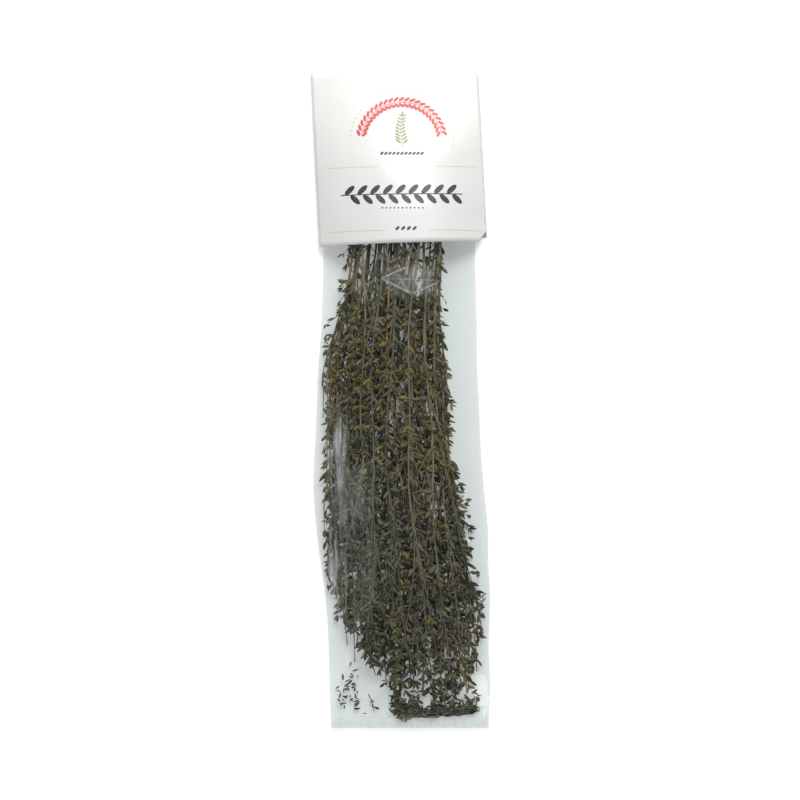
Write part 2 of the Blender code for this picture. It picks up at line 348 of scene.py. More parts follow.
def leaf_template(groove, bend, roll, widest):
    """A thyme leaf one unit long, one wide at its widest: base at the origin, tip along +Z."""
    bm = bmesh.new()
    bmesh.ops.create_uvsphere(bm, u_segments=4, v_segments=4, radius=1.0)
    for vert in bm.verts:
        x, y, z = vert.co
        along = 0.5 + 0.5 * math.asin(max(-1.0, min(1.0, z))) / (math.pi / 2)
        along = along ** math.log(widest, 0.5)
        side = abs(x) > 0.05
        across = 0.5 * (1.0 if x > 0 else -1.0) if side and abs(z) < 0.99 else 0.0
        if 0.1 < abs(z) < 0.8:
            across *= 0.78
        height = 0.0
        if abs(z) < 0.99 and not side:
            height = -groove if y > 0 else -groove - 0.11
        elif abs(z) < 0.99:
            height = -roll
        vert.co = (across, height - bend * along * along, along)
    bmesh.ops.recalc_face_normals(bm, faces=bm.faces)
    return template_of(bm, 0)


def twig_template(bend):
    """A slender twig one unit long, bending towards +Y."""
    bm = bmesh.new()
    ring = bmesh.ops.create_circle(bm, cap_ends=True, segments=4, radius=0.019)["verts"]
    edges = list({edge for vert in ring for edge in vert.link_edges})
    steps = 4
    for step in range(1, steps + 1):
        made = bmesh.ops.extrude_edge_only(bm, edges=edges)["geom"]
        verts = [item for item in made if isinstance(item, bmesh.types.BMVert)]
        edges = [item for item in made if isinstance(item, bmesh.types.BMEdge)]
        t = step / steps
        rise = bend * (t * t - (t - 1 / steps) ** 2)
        bmesh.ops.translate(bm, vec=(0.0, rise, 1 / steps), verts=verts)
        middle = Vector((0.0, bend * t * t, t))
        shrink = (1 - 0.55 * t) / (1 - 0.55 * (t - 1 / steps))
        bmesh.ops.scale(
            bm, vec=(shrink, shrink, 1.0), space=Matrix.Translation(-middle), verts=verts
        )
    bmesh.ops.edgeloop_fill(bm, edges=edges)
    bmesh.ops.recalc_face_normals(bm, faces=bm.faces)
    return template_of(bm, 1)


def smooth_path(points, step):
    """Points about a step apart on a smooth curve through the given ones."""
    path = []
    for i in range(len(points) - 1):
        before = points[max(i - 1, 0)]
        start, end = points[i], points[i + 1]
        after = points[min(i + 2, len(points) - 1)]
        count = max(1, round((end - start).length / step))
        for k in range(count):
            t = k / count
            path.append(
                0.5
                * (
                    2 * start
                    + (end - before) * t
                    + (2 * before - 5 * start + 4 * end - after) * t * t
                    + (3 * start - before - 3 * end + after) * t**3
                )
            )
    path.append(points[-1].copy())
    return path


def centreline(name):
    """The stem of a sprig of the frame, from its cut end to its tip."""
    spots = {tuple(round(c, 5) for c in vert.co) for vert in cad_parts[name].data.vertices}
    spots = sorted((Vector(spot) for spot in spots), key=lambda spot: -spot.y)
    groups = [[spots[0]]]
    for spot in spots[1:]:
        if groups[-1][-1].y - spot.y > 8 * MM:
            groups.append([])
        groups[-1].append(spot)
    middles = [sum(group, Vector()) / len(group) for group in groups]
    tip = middles[-1] + (middles[-1] - middles[-2]).normalized() * 4 * MM
    return middles + [tip]


class Grower:
    """Collects the stems, twigs and leaves of one piece, which is part of the bundle or has fallen."""

    def __init__(self, chance, templates, fallen=False, size=1.0):
        self.bm = bmesh.new()
        self.tint = self.bm.verts.layers.float.new("tint")
        self.chance = chance
        self.templates = templates
        self.copies = []
        self.fallen = fallen
        self.size = size

    def finished(self):
        """The stems with every copy of a leaf or twig joined on, facing outwards."""
        bmesh.ops.recalc_face_normals(self.bm, faces=self.bm.faces)
        points, faces, marks, tints = [], [], [], []
        for template, matrix, tint in self.copies:
            shape, polygons, mark = template
            start = len(tints)
            placed = numpy.array(matrix)
            placed = shape @ placed[:3, :3].T + placed[:3, 3]
            placed[:, 2] = numpy.maximum(placed[:, 2], LOWEST_LEAF)
            points.extend(placed.tolist())
            faces.extend([start + i for i in polygon] for polygon in polygons)
            marks.extend([mark] * len(polygons))
            tints.extend([tint] * len(shape))
        if points:
            mesh = bpy.data.meshes.new("copies")
            mesh.from_pydata(points, [], faces)
            mesh.attributes.new("tint", "FLOAT", "POINT").data.foreach_set("value", tints)
            mesh.polygons.foreach_set("material_index", marks)
            self.bm.from_mesh(mesh)
            bpy.data.meshes.remove(mesh)
        return self.bm

    def leaf(self, base, direction, length, tint, up=UP):
        """A leaf from base towards direction, kept inside the film."""
        chance = self.chance
        tip = INSIDE.settle(base + direction.normalized() * length, LEAF_ROOM)
        if not self.fallen and (in_gap(tip) or in_gap(base.lerp(tip, 0.5))):
            return
        along = (tip - base).normalized()
        up = (up + Vector((chance.uniform(-1, 1), chance.uniform(-1, 1), 0.0)) * 0.7).normalized()
        across = along.cross(up)
        if across.length < 0.1:
            across = along.cross(Vector((1.0, 0.0, 0.0)))
        across.normalize()
        above = along.cross(-across)
        wide = length * chance.uniform(0.24, 0.36)
        turn = Matrix((across, above, along)).transposed().to_4x4()
        size = Matrix.Diagonal((wide, length, length, 1.0))
        matrix = Matrix.Translation(base) @ turn @ size
        self.copies.append((chance.choice(self.templates["leaves"]), matrix, tint))

    def stem(self, path, thick, thin, tint, sides=5):
        """A stem along the path, tapering."""
        bm = self.bm
        count = len(bm.verts)
        last = len(path) - 1
        ring = bmesh.ops.create_circle(bm, cap_ends=True, segments=sides, radius=1.0)["verts"]
        edges = list({edge for vert in ring for edge in vert.link_edges})
        tangent = (path[1] - path[0]).normalized()
        frame_now = tangent.to_track_quat("Z", "Y").to_matrix()
        place = Matrix.Translation(path[0]) @ frame_now.to_4x4() @ Matrix.Scale(thick / 2, 4)
        bmesh.ops.transform(bm, matrix=place, verts=ring)
        for i in range(1, last + 1):
            made = bmesh.ops.extrude_edge_only(bm, edges=edges)["geom"]
            ring = [item for item in made if isinstance(item, bmesh.types.BMVert)]
            edges = [item for item in made if isinstance(item, bmesh.types.BMEdge)]
            ahead = (path[min(i + 1, last)] - path[i - 1]).normalized()
            frame_now = tangent.rotation_difference(ahead).to_matrix() @ frame_now
            tangent = ahead
            knot = 1.0 + 0.16 * math.sin(i * 2.1 + tint * 9)
            radius = (thick + (thin - thick) * i / last) / 2 * knot
            after = Matrix.Translation(path[i]) @ frame_now.to_4x4() @ Matrix.Scale(radius, 4)
            bmesh.ops.transform(bm, matrix=after @ place.inverted(), verts=ring)
            place = after
        bmesh.ops.edgeloop_fill(bm, edges=edges)
        bm.verts.ensure_lookup_table()
        faces = set()
        for vert in bm.verts[count:]:
            vert[self.tint] = tint
            faces.update(vert.link_faces)
        for face in faces:
            face.material_index = 1

    def leaf_tint(self, y):
        """Greyer green towards the tips, more yellow and brown in the middle of the bundle."""
        chance = self.chance
        warm = max(0.0, 1 - abs(y / MM - 15) / 85)
        if chance.random() < 0.05 + 0.10 * warm:
            return chance.uniform(0.8, 1.0)
        return min(1.0, abs(chance.gauss(0.27 + 0.31 * warm, 0.21)))

    def twig(self, base, direction, length, bark):
        """A side twig with pairs of leaves and a tuft at its tip."""
        chance = self.chance
        end = INSIDE.settle(base + direction.normalized() * length, 2.2 * MM)
        along = (end - base).normalized()
        sideways = along.cross(UP)
        if sideways.length < 0.05:
            sideways = Vector((1.0, 0.0, 0.0))
        sideways.normalize()
        bend = chance.choice((-1, 1))
        toward = sideways * bend
        third = toward.cross(along).normalized()
        turn = Matrix((third, toward, along)).transposed().to_4x4()
        amount, template = chance.choice(self.templates["twigs"])
        matrix = Matrix.Translation(base) @ turn @ Matrix.Scale(length, 4)
        self.copies.append((template, matrix, bark))
        spot = 0.18 * length
        roll = chance.uniform(0, math.pi)
        gap = chance.uniform(3.4, 5.4) * MM
        while spot < length:
            t = spot / length
            place = base + along * spot + toward * amount * length * t * t
            heading = (along + toward * 2 * amount * t).normalized()
            self.pair(place, heading, roll, chance.uniform(4.2, 7.0) * MM * (1.05 - 0.35 * t))
            roll += math.pi / 2 + chance.uniform(-0.4, 0.4)
            spot += gap * chance.uniform(0.7, 1.3)
        place = base + along * length + toward * amount * length
        heading = (along + toward * 2 * amount).normalized()
        for _ in range(chance.randint(2, 4)):
            lean = Vector([chance.uniform(-0.7, 0.7) for _ in range(3)])
            self.leaf(place, heading + lean, chance.uniform(2.8, 5.2) * MM, self.leaf_tint(place.y))

    def pair(self, place, heading, roll, length):
        """Two leaves across from each other, with a small tuft in the angle of one."""
        chance = self.chance
        first = heading.cross(UP)
        if first.length < 0.05:
            first = Vector((1.0, 0.0, 0.0))
        first.normalize()
        second = heading.cross(first)
        tint = self.leaf_tint(place.y)
        for half in (0.0, math.pi):
            if chance.random() < 0.08:
                continue
            angle = roll + half
            out = first * math.cos(angle) + second * math.sin(angle) * 0.75
            spread = chance.uniform(0.5, 1.25)
            direction = heading * math.cos(spread) + out * math.sin(spread)
            self.leaf(place, direction, length * chance.uniform(0.75, 1.15),
                      min(1.0, max(0.0, tint + chance.gauss(0, 0.06))), up=heading * -0.4 + UP)
            if chance.random() < 0.22:
                lean = heading * 1.3 + out
                self.leaf(place, lean, length * chance.uniform(0.4, 0.6), tint)

    def dress(self, path, bare, gap, twigs, bark):
        """Leaves and twigs along a stem, beyond its bare share."""
        chance = self.chance
        lengths = [0.0]
        for start, end in zip(path, path[1:]):
            lengths.append(lengths[-1] + (end - start).length)
        total = lengths[-1]
        spot = total * bare
        roll = chance.uniform(0, math.pi)
        index = 0
        while spot < total:
            while lengths[index + 1] < spot:
                index += 1
            t = (spot - lengths[index]) / max(lengths[index + 1] - lengths[index], 1e-9)
            place = path[index].lerp(path[index + 1], t)
            heading = (path[index + 1] - path[index]).normalized()
            share = spot / total
            for half in (0.0, math.pi):
                if chance.random() > twigs:
                    continue
                angle = roll + half
                side = heading.cross(UP).normalized()
                out = side * math.cos(angle) + UP * math.sin(angle) * 0.6
                spread = chance.uniform(0.35, 0.85)
                direction = heading * math.cos(spread) + out * math.sin(spread)
                long = chance.uniform(7, 21) * MM * (1.1 - 0.5 * share)
                if not in_herb(place + direction * long, 1.5):
                    direction.x = -direction.x
                if in_herb(place + direction * long, 2.5):
                    self.twig(place, direction, long, bark)
            if self.fallen or in_herb(place, 2.0):
                self.pair(place, heading, roll + 0.8, chance.uniform(5.0, 8.0) * self.size * MM)
            roll += math.pi / 2 + chance.uniform(-0.3, 0.3)
            spot += gap * chance.uniform(0.7, 1.3)


BARKS = (0.1, 0.2, 0.28, 0.36, 0.44, 0.5, 0.56, 0.62, 0.8)  # from dark to orange on the bark's ramp
BRANCHES = 4  # long side stems of a sprig
BRANCH_JOINTS = 7


def grow_sprig(name, templates, chance, sizes):
    """One sprig of the visual model, on the stem that the frame gives it."""
    grower = Grower(chance, templates)
    line = centreline(name)
    sway, phase = chance.uniform(0.5, 1.8), chance.uniform(0, 6)
    path = []
    for point in smooth_path(line, 7 * MM):
        wave = Vector((math.sin(point.y / MM / 17 + phase) * sway, 0.0,
                       math.cos(point.y / MM / 23 + phase) * sway * 0.5)) * MM
        path.append(INSIDE.settle(point + wave, STEM_ROOM))
    bark = chance.choice(BARKS)
    grower.stem(path, sizes.stem_thick * chance.uniform(0.7, 1.15), 0.6 * MM, bark)
    grower.dress(path, chance.uniform(0.02, 0.24), sizes.node_gap, 0.5, bark)
    for _ in range(BRANCHES):
        start = chance.randrange(len(path) // 7, len(path) * 3 // 4)
        heading = (path[start + 1] - path[start]).normalized()
        lean = chance.uniform(-0.36, 0.36)
        reach = chance.uniform(45, 105) * MM
        points = [path[start]]
        for _ in range(BRANCH_JOINTS):
            heading = (heading + Vector((lean / 2.2, -0.04, chance.uniform(-0.03, 0.03)))).normalized()
            lean *= 0.62
            lean += chance.uniform(-0.03, 0.03)
            step = points[-1] + heading * reach / BRANCH_JOINTS
            if not in_herb(step, -1.0):
                lean = -0.25 if step.x > 0 else 0.25
                step.x -= 1.5 * MM if step.x > 0 else -1.5 * MM
            past_mass = step.y < -110 * MM and not in_herb(step, 1.0)
            if past_mass or step.y < INSIDE.low.y + 17 * MM:
                break
            points.append(INSIDE.settle(step, STEM_ROOM))
        if len(points) > 3:
            branch = smooth_path(points, 8 * MM)
            grower.stem(branch, 0.95 * MM, 0.45 * MM, bark * 0.9, sides=4)
            grower.dress(branch, 0.15, sizes.node_gap * 0.95, 0.35, bark)
    return grower.finished()


def make_templates():
    """The leaf and twig shapes that are copied: five leaves, and three twigs with how far each bends."""
    leaves = [
        leaf_template(groove, bend, roll, widest)
        for groove, bend, roll, widest in (
            (0.05, 0.05, 0.0, 0.45),
            (0.09, 0.16, 0.01, 0.5),
            (0.03, -0.10, 0.02, 0.42),
            (0.12, 0.26, 0.0, 0.5),
            (0.02, 0.12, 0.05, 0.55),
        )
    ]
    twigs = [(bend, twig_template(bend)) for bend in (0.02, 0.12, 0.22)]
    return {"leaves": leaves, "twigs": twigs}


# Finishes


def leaf_finish(colours):
    """Matt leaves, coloured by their tint from near black through grey-green and olive to brown."""
    finish = Finish("dried thyme leaf")
    tint = finish.attribute("tint")
    mottle = finish.noise(420.0, detail=2.0)
    shade = tint + (mottle - 0.5) * 0.35
    deep, grey, olive, yellow, brown = (
        plain(c) for c in (colours.leaf_deep, colours.leaf_grey, colours.leaf_olive,
                           colours.leaf_yellow, colours.leaf_brown)
    )
    colour = finish.ramp(
        shade, [(0.0, deep), (0.3, grey), (0.58, olive), (0.82, yellow), (1.0, brown)]
    )
    veins = finish.noise(2600.0, detail=2.0)
    finish.set(Base_Color=colour, Roughness=0.62 + mottle * 0.25,
               Normal=finish.bump(veins, 0.35, 0.2 * MM))
    finish.set(Specular_IOR_Level=0.3)
    return finish.material


def bark_finish(colours):
    """Streaky bark, coloured by its tint from dark to russet."""
    finish = Finish("thyme bark")
    tint = finish.attribute("tint")
    streaks = finish.noise(300.0, stretch=(3.0, 0.35, 3.0), detail=4.0, roughness=0.65)
    patches = finish.noise(38.0, detail=2.0)
    shade = tint + (patches - 0.5) * 0.9
    colour = finish.ramp(
        shade,
        [(0.0, plain(colours.bark_dark)), (0.3, plain(colours.bark_green)),
         (0.62, plain(colours.bark_tan)), (0.95, plain(colours.bark_orange))],
    )
    colour = finish.mix(streaks.over(0.35, 0.75) * 0.45, colour, plain(colours.bark_dark))
    finish.set(Base_Color=colour, Roughness=0.7 + streaks * 0.2,
               Normal=finish.bump(streaks, 0.5, 0.3 * MM))
    finish.set(Specular_IOR_Level=0.3)
    return finish.material


CREASE_GLINTS = (  # start, end, width, strength: painted highlights along the creases under the card, in millimetres
    ((-11, 72), (4, 79), 0.9, 0.3),
    ((-11, 72), (7, 63), 1.0, 0.3),
    ((-11, 72), (23, 71), 0.7, 0.12),
    ((7, 63), (23, 70), 0.9, 0.2),
    ((4, 79), (8, 93), 0.8, 0.12),
    ((-2, 75), (5, 64), 1.6, 0.12),
    ((12, 78), (13, 62), 1.2, 0.1),
    ((-11, 72), (-30, 66), 1.5, 0.08),
)


def film_finish(colours):
    """Clear film: see-through and glossy, with a faint milky haze, a milky seal, painted highlights along
    the creases under the card, a painted reflection along the fold down its left side and a painted window
    reflection further down on the left.
    """
    finish = Finish("clear film")
    x, y, _ = finish.position()
    soft = finish.noise(26.0, stretch=(1.0, 0.32, 1.0), detail=4.0)
    fine = finish.noise(120.0, stretch=(2.4, 0.22, 1.0), detail=5.0, roughness=0.6)
    # Painted reflection: a milky band along the fold down the left side of the film.
    left_fold_reflection = x.over(-45.0, -42.0) * (1 - x.over(-34.0, -30.0))
    left_fold_reflection = left_fold_reflection * y.over(-140.0, -110.0) * (1 - y.over(-22.0, 8.0))
    seal = 1 - y.over(-191.5, -190.3)
    # Painted highlight: streaks where the creases spread out under the card.
    fan_highlight = y.near(71, 3.0, 13.0) * x.near(6, 9.0, 20.0)
    # Painted reflection of a window: a lighter patch further down on the left.
    window_reflection = x.near(-29, 6.0, 9.5) * y.near(-55, 12.0, 17.0)
    # Real milky haze and seal, plus painted highlights and painted reflections, all in the film haze colour
    haze_and_sheen = (
        0.004
        + fine.over(0.6, 0.85) * 0.04
        + left_fold_reflection * (0.02 + fine.over(0.45, 0.7) * 0.42)
        + fan_highlight * soft.over(0.3, 0.62) * 0.1
        + seal * (0.16 + fine.over(0.4, 0.8) * 0.3)
        + window_reflection * 0.07
    )
    # Painted highlights along the creases under the card.
    for start, end, width, strength in CREASE_GLINTS:
        haze_and_sheen = haze_and_sheen + finish.crease(start, end, width) * (soft.over(0.2, 0.65) * strength)
    clear = finish.add("ShaderNodeBsdfTransparent", {}, {"Color": (*plain(colours.film), 1.0)})
    gloss = finish.add("ShaderNodeBsdfGlossy", {}, {"Roughness": 0.11})
    crumple = finish.noise(60.0, stretch=(1.0, 0.3, 1.0), detail=4.0)
    normal = finish.bump(crumple * 0.7 + fine * 0.3, 0.22, 1.2 * MM)
    finish.join(normal, gloss.inputs["Normal"])
    finish.set(Base_Color=(*plain(colours.film_haze_and_sheen), 1.0), Roughness=0.35, Normal=normal)
    facing = finish.add("ShaderNodeLayerWeight", {}, {"Blend": 0.5}).outputs["Facing"]
    rim = 0.014 + Number(finish, facing) ** 4 * 0.55
    film = finish.blend(rim, clear.outputs[0], gloss.outputs[0])
    film = finish.blend(haze_and_sheen, film, finish.shader.outputs[0])
    finish.join(film, finish.output.inputs["Surface"])
    return finish.material


def card_finish(colours):
    """White coated card, a little yellowed, greyer and less glossy in soft smudges, greyer along the fold,
    and with painted shade towards the bottom of its front, most on the left.
    """
    finish = Finish("coated card")
    x, y, _ = finish.position()
    white, smudge_and_shade = plain(colours.card), plain(colours.card_smudge_and_shade)
    smudge = finish.noise(18.0, detail=3.0)
    pulp = finish.noise(900.0, detail=3.0)
    # Painted shade: darker towards the bottom of the card's front, most on the left.
    painted_shade_near_bottom = (1 - y.over(95.0, 180.0)) * (1 - x.over(8.0, 58.0) * 0.5)
    colour = finish.mix(smudge.over(0.35, 0.8) * 0.3 + painted_shade_near_bottom * 0.5, white, smudge_and_shade)
    # Greyer along the fold.
    colour = finish.mix(y.near(196.6, 0.2, 1.2) * 0.4, colour, smudge_and_shade)
    finish.set(Base_Color=colour, Roughness=0.3 + smudge * 0.16,
               Normal=finish.bump(smudge * 0.8 + pulp * 0.03, 0.3, 1.2 * MM))
    finish.set(Coat_Weight=0.15)
    return finish.material


def ink_finish(name, colour):
    """A print ink on white card."""
    finish = Finish(name)
    speckle = finish.noise(1500.0, detail=2.0)
    finish.set(Base_Color=finish.mix(speckle.over(0.55, 0.8) * 0.25, plain(colour), (0.8, 0.8, 0.76)),
               Roughness=0.36 + speckle * 0.1)
    return finish.material


# The card and the film


def skin_of(node, outer_only):
    """A bmesh copy of a frame node, merged and back in four-sided faces."""
    bm = bmesh.new()
    bm.from_mesh(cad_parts[node].data)
    bmesh.ops.remove_doubles(bm, verts=bm.verts, dist=0.004 * MM)
    if outer_only:
        tree = BVHTree.FromBMesh(bm)
        inner = []
        for face in bm.faces:
            middle = face.calc_center_median()
            if tree.ray_cast(middle + face.normal * 0.02 * MM, face.normal)[0] is not None:
                inner.append(face)
        inner += [f for f in bm.faces if f.normal.y > 0.9 and f.calc_center_median().y > 192 * MM]
        bmesh.ops.delete(bm, geom=list(set(inner)), context="FACES")
    bmesh.ops.join_triangles(
        bm, faces=bm.faces, angle_face_threshold=math.radians(35), angle_shape_threshold=math.radians(80)
    )
    return bm


def refined(name, bm, levels, sharp):
    """The mesh after that many levels of subdivision, with edges over the sharp angle kept."""
    crease = bm.edges.layers.float.get("crease_edge") or bm.edges.layers.float.new("crease_edge")
    for edge in bm.edges:
        if edge.is_boundary or edge.calc_face_angle(0.0) > sharp:
            edge[crease] = 1.0
    mesh = bpy.data.meshes.new(name)
    bm.to_mesh(mesh)
    bm.free()
    rough = bpy.data.objects.new(name, mesh)
    bpy.context.scene.collection.objects.link(rough)
    surface = rough.modifiers.new("surface", "SUBSURF")
    surface.levels = levels
    surface.render_levels = levels
    bpy.context.view_layer.update()
    evaluated = rough.evaluated_get(bpy.context.evaluated_depsgraph_get())
    made = bmesh.new()
    made.from_mesh(evaluated.data)
    bpy.data.objects.remove(rough)
    return made


def ridge(x, y, start, end, width, height):
    """Height of a straight fold between two points, fading towards its ends, in millimetres."""
    a, b = Vector(start), Vector(end)
    along = b - a
    t = (Vector((x, y)) - a).dot(along) / along.length_squared
    if not -0.05 < t < 1.05:
        return 0.0
    t = min(max(t, 0.0), 1.0)
    away = (Vector((x, y)) - a - along * t).length
    return height * math.exp(-((away / width) ** 2)) * math.sin(math.pi * min(1.0, t * 0.92 + 0.06)) ** 0.5


FOLDS = (  # start, end, width, height: the film's folds, in millimetres
    ((-11, 72), (4, 79), 1.0, 0.9),
    ((-11, 72), (7, 63), 1.0, 0.9),
    ((-11, 72), (23, 71), 0.9, 0.6),
    ((7, 63), (23, 70), 1.0, 0.7),
    ((4, 79), (8, 93), 1.0, 0.6),
    ((-27, 86), (-30, 40), 1.4, 0.6),
    ((34, 92), (38, -52), 0.9, 0.6),
    ((42, 92), (42.5, -40), 0.7, 0.5),
    ((47, -30), (50, -185), 1.0, 0.6),
    ((41, -60), (52, -100), 1.2, 0.6),
    ((-41, 60), (-43, -20), 1.0, 0.6),
    ((-38, -18), (-35, -150), 1.1, 0.9),
    ((-42, -20), (-40, -150), 1.0, 0.8),
    ((-45, -40), (-44, -120), 0.9, 0.6),
    ((-30, -120), (-12, -182), 1.4, 0.7),
    ((-36, -150), (-20, -188), 1.3, 0.6),
    ((20, -150), (28, -188), 1.2, 0.5),
    ((-20, 20), (-6, -60), 1.5, 0.5),
    ((5, 30), (16, -70), 1.6, 0.5),
    ((-30, -10), (-22, -90), 1.3, 0.5),
    ((28, -80), (44, -160), 1.3, 0.5),
)


def film_lift(x, y):
    """How far the film stands proud of its smooth shape at x, y, in millimetres."""
    lift = sum(ridge(x, y, *fold) for fold in FOLDS)
    slow = noise.noise(Vector((x / 16.0, y / 52.0, 3.1)))
    sharp = 1.0 - abs(noise.noise(Vector((x / 9.0 + slow, y / 34.0, 7.7))))
    return lift + 0.5 * slow + 0.55 * sharp**6


def build_film(colours):
    """The bag as one closed skin of film, with folds and uneven sides."""
    bm = skin_of("bag", True)
    hole = [edge for edge in bm.edges if edge.is_boundary]
    bmesh.ops.edgeloop_fill(bm, edges=hole)
    bmesh.ops.recalc_face_normals(bm, faces=bm.faces)
    bm = refined("film", bm, 3, math.radians(50))
    bm.normal_update()
    for vert in bm.verts:
        x, y, z = vert.co / MM
        room = min(1.0, max(0.0, (y + 190) / 14.0)) * min(1.0, max(0.0, (150 - y) / 50.0))
        lift = film_lift(x, y)
        if vert.normal.z > 0.05:
            vert.co.z += lift * room * min(1.0, z / 6.0) * MM
        sway = noise.noise(Vector((0.3, y / 26.0, 1.5 if x > 0 else 9.5)))
        edge = max(0.0, abs(x) - 34.0) / 18.0
        vert.co.x += sway * 1.2 * edge * min(1.0, max(0.0, (92 - y) / 20.0)) * MM
    return new_piece("film_bag", bm, [film_finish(colours)], ["bag"])


def card_dent(x, y):
    """How far the card gives at x, y, in millimetres."""
    slow = noise.noise(Vector((x / 30.0, y / 24.0, 11.0)))
    quick = noise.noise(Vector((x / 11.0, y / 13.0, 5.0)))
    return 0.55 * slow + 0.16 * quick


def build_card(colours):
    """The folded card with soft dents in its front."""
    bm = refined("card", skin_of("header_card", False), 2, math.radians(40))
    for vert in bm.verts:
        x, y, z = vert.co / MM
        if z > 1.2:
            vert.co.z += card_dent(x, y) * min(1.0, (z - 1.2) / 4.0) * MM
    return new_piece("card", bm, [card_finish(colours)], ["header_card"])


class Print:
    """Lays flat ink shapes on the card's front."""

    def __init__(self, card):
        mesh = card.data
        self.tree = BVHTree.FromPolygons(
            [vert.co.copy() for vert in mesh.vertices],
            [tuple(face.vertices) for face in mesh.polygons],
        )
        self.bm = bmesh.new()

    def lay(self, verts, index):
        """Drops the shape's points onto the card and gives its faces this ink."""
        faces = {face for vert in verts for face in vert.link_faces}
        for vert in verts:
            hit = self.tree.ray_cast(Vector((vert.co.x, vert.co.y, 1.0)), -UP)[0]
            vert.co.z = (hit.z if hit else 0.0) + 0.12 * MM
        for face in faces:
            face.material_index = index
            if face.normal.z < 0:
                face.normal_flip()

    def blade(self, x, y, long, wide, angle, index, segments=8):
        """A pointed or round spot centred on x, y, in millimetres."""
        verts = bmesh.ops.create_circle(self.bm, cap_ends=True, segments=segments, radius=0.5)["verts"]
        turn = Matrix.Rotation(angle, 4, "Z")
        size = Matrix.Diagonal((long * MM, wide * MM, 1.0, 1.0))
        place = Matrix.Translation((x * MM, y * MM, 0.0))
        bmesh.ops.transform(self.bm, matrix=place @ turn @ size, verts=verts)
        self.bm.normal_update()
        self.lay(verts, index)

    def line(self, points, wide, index):
        """A stroke through the points, in millimetres."""
        for (x0, y0), (x1, y1) in zip(points, points[1:]):
            long = math.hypot(x1 - x0, y1 - y0)
            steps = max(1, round(long / 2.5))
            angle = math.atan2(y1 - y0, x1 - x0)
            for k in range(steps):
                t = (k + 0.5) / steps
                self.blade(x0 + (x1 - x0) * t, y0 + (y1 - y0) * t,
                           long / steps * 1.5, wide, angle, index, 6)


def build_print(card, colours):
    """Generic print with no lettering: an arch of leaves over a sprig, dotted rules and bars."""
    ink = Print(card)
    olive, green, red, dark = range(4)
    middle = (0.9, 154.5)
    for k in range(37):
        angle = math.radians(-3 + 186 * k / 36)
        x, y = middle[0] + 31 * math.cos(angle), middle[1] + 31 * math.sin(angle)
        ink.blade(x, y, 0.75, 0.75, 0.0, olive, 6)
    for k in range(23):
        angle = math.radians(12 + 156 * k / 22)
        for ring, lean in ((26.4, 0.6), (22.6, -0.6)):
            x, y = middle[0] + ring * math.cos(angle), middle[1] + ring * math.sin(angle)
            ink.blade(x, y, 4.3, 1.9, angle + math.pi / 2 + lean, red)
    arc = [(middle[0] + 24.5 * math.cos(math.radians(a)), middle[1] + 24.5 * math.sin(math.radians(a)))
           for a in range(10, 171, 8)]
    ink.line(arc, 0.5, red)
    stalk = [(1.5, 151.0), (0.9, 156.0), (0.2, 161.0), (0.6, 165.0), (1.4, 170.5)]
    ink.line(stalk, 0.55, green)
    for k in range(9):
        t = k / 8
        x = 1.2 - 1.1 * math.sin(math.pi * t) + 0.3 * t
        y = 153.0 + 17.0 * t
        reach = 4.4 - 2.0 * t
        for side in (-1, 1):
            angle = math.pi / 2 - side * 0.95
            ink.blade(x + math.cos(angle) * reach * 0.62, y + math.sin(angle) * reach * 0.62,
                      reach, 1.4 - 0.4 * t, angle, green)
    ink.blade(1.5, 171.8, 3.2, 1.3, math.pi / 2 - 0.1, green)
    for y, spans in ((139.0, ((-43, -13), (17, 46))), (100.6, ((-42, -10), (17, 48.5)))):
        for low, high in spans:
            count = round((high - low) / 0.95)
            for k in range(count):
                x = low + (high - low) * k / (count - 1)
                ink.blade(x, y + 0.012 * (x + 43) - 0.3, 0.55, 0.55, 0.0, olive, 6)
    for k in range(9):
        x = -30 + 7.6 * k
        ink.blade(x, 122.5 + 0.012 * x + 2.9, 7.6, 3.2, 0.75, dark, 12)
        ink.blade(x + 3.3, 122.5 + 0.012 * x - 2.9, 7.6, 3.2, -0.75, dark, 12)
    ink.line([(-35, 122.1), (37, 123.0)], 0.7, dark)
    for k in range(11):
        ink.blade(-10.5 + 2.4 * k, 114.2, 1.2, 1.2, math.pi / 4, dark, 4)
        ink.blade(-10.8 + 2.4 * k, 147.2, 2.6, 1.5, 0.75, dark, 8)
    for k in range(4):
        ink.blade(-1.5 + 3.4 * k, 102.0, 3.2, 1.7, 0.75, dark, 8)
    inks = [ink_finish("olive ink", colours.ink_olive), ink_finish("green ink", colours.ink_green),
            ink_finish("red ink", colours.ink_red), ink_finish("dark ink", colours.ink_dark)]
    return new_piece("card_print", ink.bm, inks, smooth=False)


# What has fallen

BED_LEAVES = 680
LEAVES_FOR_ONE = 5  # loose leaves in place of one in the fixed frame


